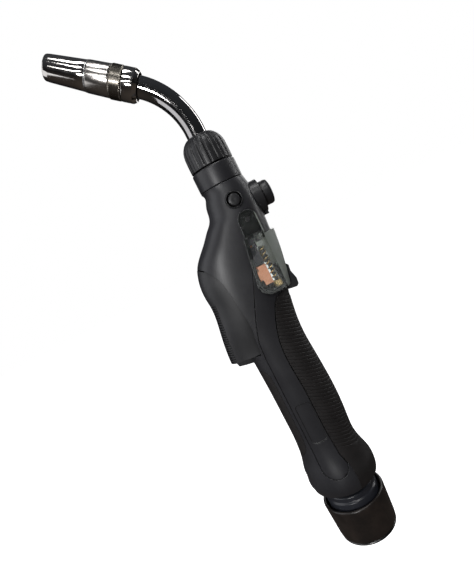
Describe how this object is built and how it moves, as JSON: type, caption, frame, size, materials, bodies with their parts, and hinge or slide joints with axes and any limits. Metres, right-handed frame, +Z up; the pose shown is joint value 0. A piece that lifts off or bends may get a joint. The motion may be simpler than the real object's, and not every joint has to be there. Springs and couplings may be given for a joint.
{
  "type": "mig welding torch",
  "caption": "Push-pull MIG welding torch with a chrome nozzle, bent swan neck, trigger handle, clear drive cover and swivelling cable cup.",
  "frame": {"origin": "centre of the cable inlet, on the rear face of the swivelling cup at rest", "axes": "+Z up the handle towards the swan neck, +X towards the speed knob and the clear cover, opposite the trigger, -Y towards the side with the push button"},
  "size_m": [0.1016, 0.0526, 0.4001],
  "materials": {
    "chrome": "polished",
    "dark_chrome": "polished dark chrome",
    "satin_steel": "satin, knurled",
    "steel": "machined",
    "brass": "machined",
    "copper": "bare copper",
    "insulator": "moulded",
    "shell_plastic": "fine grained moulding",
    "panel_plastic": "smooth satin moulding",
    "grip_rubber": "matte rubber",
    "black_plastic": "satin moulding",
    "trigger_plastic": "fine grained moulding",
    "clear_plastic": "clear polycarbonate",
    "aluminium": "machined",
    "arm_plastic": "light grey moulding",
    "plate_plastic": "dark violet grey plate",
    "motor_steel": "dark coated can",
    "hose": "extruded",
    "cup_plastic": "semi gloss moulding",
    "grey_plastic": "smooth moulding"
  },
  "bodies": {
    "handle": {"left_shell": "shell_plastic", "right_shell": "shell_plastic", "left_side_panel": "panel_plastic", "right_side_panel": "panel_plastic", "rib_grip": "grip_rubber", "front_grip": "grip_rubber", "shell_screws": "steel", "neck_collar": "black_plastic", "neck_socket": "brass", "button_ring": "black_plastic", "button_switch": "insulator", "knob_base": "black_plastic", "potentiometer": "steel", "cover_pins": "steel", "drive_plate": "plate_plastic", "drive_chassis": "aluminium", "drive_motor": "motor_steel", "angle_gearhead": "aluminium", "tension_spring": "steel", "wire_guides": "brass", "power_block": "copper", "gas_hose": "hose", "wire_conduit": "steel", "power_lead": "hose", "inlet_block": "brass", "trigger_pin": "steel", "trigger_switch": "insulator", "trigger_spring": "steel", "arm_pin": "steel"},
    "neck": {"swan_neck": "dark_chrome", "neck_insulation": "insulator", "neck_conductor": "copper", "wire_liner": "steel", "nozzle_nut": "satin_steel", "nozzle_insulator": "insulator", "gas_diffuser": "brass", "contact_tip": "copper"},
    "nozzle": {"knurled_collar": "satin_steel", "nozzle_body": "chrome", "nozzle_ring": "steel", "gas_nozzle": "chrome"},
    "lock_nut": {"neck_lock_nut": "black_plastic"},
    "trigger_lever": {"trigger": "trigger_plastic"},
    "button": {"side_button": "black_plastic"},
    "knob": {"speed_knob": "black_plastic", "knob_shaft": "steel"},
    "cover": {"drive_cover": "clear_plastic"},
    "latch": {"cover_latch": "black_plastic"},
    "arm": {"pressure_arm": "arm_plastic", "pressure_roll_pin": "steel"},
    "idler": {"pressure_roll": "steel"},
    "drive": {"drive_roll": "steel", "roll_shaft": "steel", "roll_screw": "brass"},
    "tension": {"tension_screw": "brass"},
    "swivel_race": {"swivel_seat": "grey_plastic"},
    "cable_swivel": {"swivel_ball": "steel", "swivel_neck": "grey_plastic", "cable_cup": "cup_plastic", "rear_ring": "chrome"}
  },
  "joints": [
    {"name": "neck_turn", "type": "hinge", "parent": "handle", "child": "neck", "pos_m": [0.0128, 0, 0.29], "axis": [0, 0, 1], "range_deg": [-180, 180]},
    {"name": "nozzle_turn", "type": "hinge", "parent": "neck", "child": "nozzle", "pos_m": [-0.0184, 0, 0.3659], "axis": [-0.8, 0, 0.6], "continuous": true},
    {"name": "lock_nut_turn", "type": "hinge", "parent": "handle", "child": "lock_nut", "pos_m": [0.0128, 0, 0.302], "axis": [0, 0, 1], "continuous": true},
    {"name": "trigger_pull", "type": "hinge", "parent": "handle", "child": "trigger_lever", "pos_m": [-0.0165, 0, 0.227], "axis": [0, -1, 0], "range_deg": [0, 2.6], "stiffness_Nm_per_rad": 2, "springref_deg": -5.73},
    {"name": "button_press", "type": "slide", "parent": "handle", "child": "button", "axis": [0, 1, 0], "range_m": [0, 0.0011], "stiffness_N_per_m": 700, "springref_m": -0.001},
    {"name": "knob_turn", "type": "hinge", "parent": "handle", "child": "knob", "pos_m": [0.0345, 0, 0.2602], "axis": [1, 0, 0], "range_deg": [-135, 135]},
    {"name": "cover_open", "type": "hinge", "parent": "handle", "child": "cover", "pos_m": [0.0164, 0, 0.2493], "axis": [0, -1, 0], "range_deg": [0, 41]},
    {"name": "latch_slide", "type": "slide", "parent": "handle", "child": "latch", "axis": [0, 0, -1], "range_m": [0, 0.003], "stiffness_N_per_m": 500, "springref_m": -0.002},
    {"name": "arm_lift", "type": "hinge", "parent": "handle", "child": "arm", "pos_m": [0.0225, 0, 0.238], "axis": [0, -1, 0], "range_deg": [0, 4], "stiffness_Nm_per_rad": 4, "springref_deg": -5.73},
    {"name": "roll_spin", "type": "hinge", "parent": "handle", "child": "drive", "pos_m": [0.0012, 0, 0.222], "axis": [0, 1, 0], "continuous": true},
    {"name": "idler_spin", "type": "hinge", "parent": "arm", "child": "idler", "pos_m": [0.0187, 0, 0.222], "axis": [0, 1, 0], "continuous": true},
    {"name": "tension_turn", "type": "hinge", "parent": "handle", "child": "tension", "pos_m": [0.017, -0.012, 0.2], "axis": [0, 0, 1], "range_deg": [-180, 180]},
    {"name": "swivel_spin", "type": "hinge", "parent": "handle", "child": "swivel_race", "pos_m": [0, 0, 0.054], "axis": [0, 0, 1], "continuous": true},
    {"name": "swivel_tilt", "type": "hinge", "parent": "swivel_race", "child": "cable_swivel", "pos_m": [0, 0, 0.054], "axis": [0, 1, 0], "range_deg": [-12, 12]}
  ],
  "couplings": [
    {"joint": "idler_spin", "follows": "roll_spin", "ratio": -2.1154}
  ]
}
